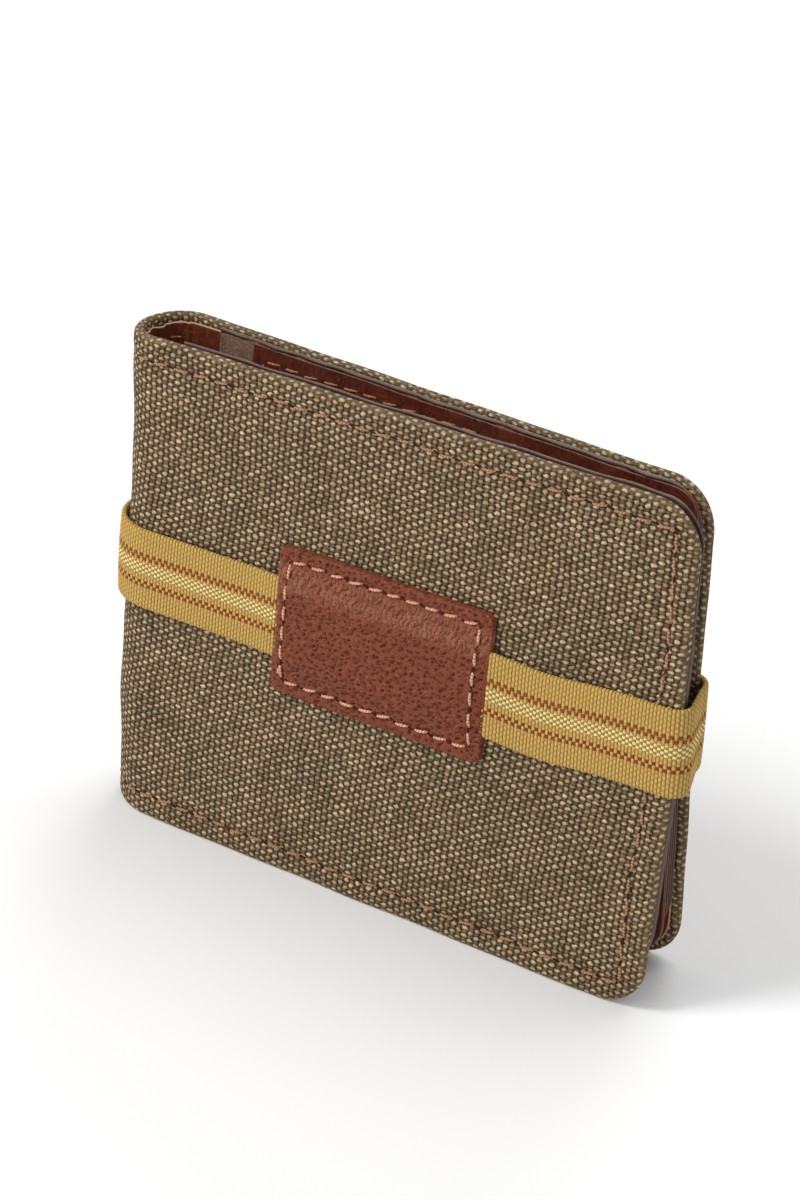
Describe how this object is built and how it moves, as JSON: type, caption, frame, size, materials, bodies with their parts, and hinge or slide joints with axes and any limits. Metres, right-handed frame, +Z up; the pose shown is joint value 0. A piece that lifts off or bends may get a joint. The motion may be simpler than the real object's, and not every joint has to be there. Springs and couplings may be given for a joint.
{
  "type": "bifold wallet",
  "caption": "Canvas-covered bifold wallet with leather-lined card and bill pockets, a swinging centre leaf with a clear window, and a striped elastic band with a leather patch.",
  "frame": {"origin": "middle of the footprint of the closed wallet standing on its bottom edge, with the elastic band on", "axes": "+X from the spine to the fore-edge, +Y from the front cover to the back cover, +Z up"},
  "size_m": [0.1166, 0.0212, 0.09],
  "materials": {
    "canvas": "woven, matte",
    "board": "matte",
    "lining_leather": "smooth, slightly glossy",
    "pocket_leather": "smooth, slightly glossy",
    "tape": "woven, matte",
    "cover_thread": "matte",
    "inner_thread": "matte",
    "window": "clear",
    "elastic": "ribbed, matte",
    "patch_leather": "pebbled, slightly glossy",
    "patch_thread": "matte"
  },
  "bodies": {
    "back_half": {"back_canvas": "canvas", "back_board": "board", "back_lining": "lining_leather", "back_bill_divider": "pocket_leather", "back_card_pocket_1": "pocket_leather", "back_card_pocket_2": "pocket_leather", "back_card_pocket_3": "pocket_leather", "back_edge_stitching": "cover_thread", "fixed_hinge_tape": "tape"},
    "spine_stave_1": {"spine_canvas_1": "canvas", "spine_lining_1": "lining_leather", "spine_stitching_1": "cover_thread"},
    "spine_stave_2": {"spine_canvas_2": "canvas", "spine_lining_2": "lining_leather", "spine_stitching_2": "cover_thread"},
    "spine_stave_3": {"spine_canvas_3": "canvas", "spine_lining_3": "lining_leather", "spine_stitching_3": "cover_thread"},
    "front_half": {"front_canvas": "canvas", "front_board": "board", "front_lining": "lining_leather", "front_bill_divider": "pocket_leather", "front_card_pocket_1": "pocket_leather", "front_card_pocket_2": "pocket_leather", "front_card_pocket_3": "pocket_leather", "front_edge_stitching": "cover_thread"},
    "centre_leaf": {"leaf_front_sheet": "lining_leather", "leaf_back_sheet": "lining_leather", "leaf_window": "window", "leaf_hinge_tape": "tape", "leaf_stitching": "inner_thread"},
    "band": {"elastic_band": "elastic", "leather_patch": "patch_leather", "patch_backing": "patch_leather", "patch_stitching": "patch_thread"}
  },
  "joints": [
    {"name": "open_wallet", "type": "hinge", "parent": "back_half", "child": "spine_stave_1", "pos_m": [-0.0485, 0.00918, 0.045], "axis": [0, 0, -1], "range_deg": [0, 30]},
    {"name": "spine_fold_2", "type": "hinge", "parent": "spine_stave_1", "child": "spine_stave_2", "pos_m": [-0.05543, 0.00517, 0.045], "axis": [0, 0, -1], "range_deg": [0, 60]},
    {"name": "spine_fold_3", "type": "hinge", "parent": "spine_stave_2", "child": "spine_stave_3", "pos_m": [-0.05543, -0.00282, 0.045], "axis": [0, 0, -1], "range_deg": [0, 60]},
    {"name": "front_fold", "type": "hinge", "parent": "spine_stave_3", "child": "front_half", "pos_m": [-0.0485, -0.00683, 0.045], "axis": [0, 0, -1], "range_deg": [0, 30]},
    {"name": "leaf_swing", "type": "hinge", "parent": "back_half", "child": "centre_leaf", "pos_m": [-0.042, 0.00198, 0.045], "axis": [0, 0, -1], "range_deg": [0, 90]},
    {"name": "band_slide", "type": "slide", "parent": "back_half", "child": "band", "axis": [0, 0, 1], "range_m": [0, 0.062], "deforming": ["elastic_band", "leather_patch", "patch_backing", "patch_stitching"]}
  ],
  "couplings": [
    {"joint": "spine_fold_2", "follows": "open_wallet", "ratio": 2},
    {"joint": "spine_fold_3", "follows": "open_wallet", "ratio": 2},
    {"joint": "front_fold", "follows": "open_wallet", "ratio": 1},
    {"joint": "leaf_swing", "follows": "open_wallet", "ratio": 3},
    {"joint": "band_slide", "follows": "open_wallet", "m_per_rad": 0.11839}
  ]
}
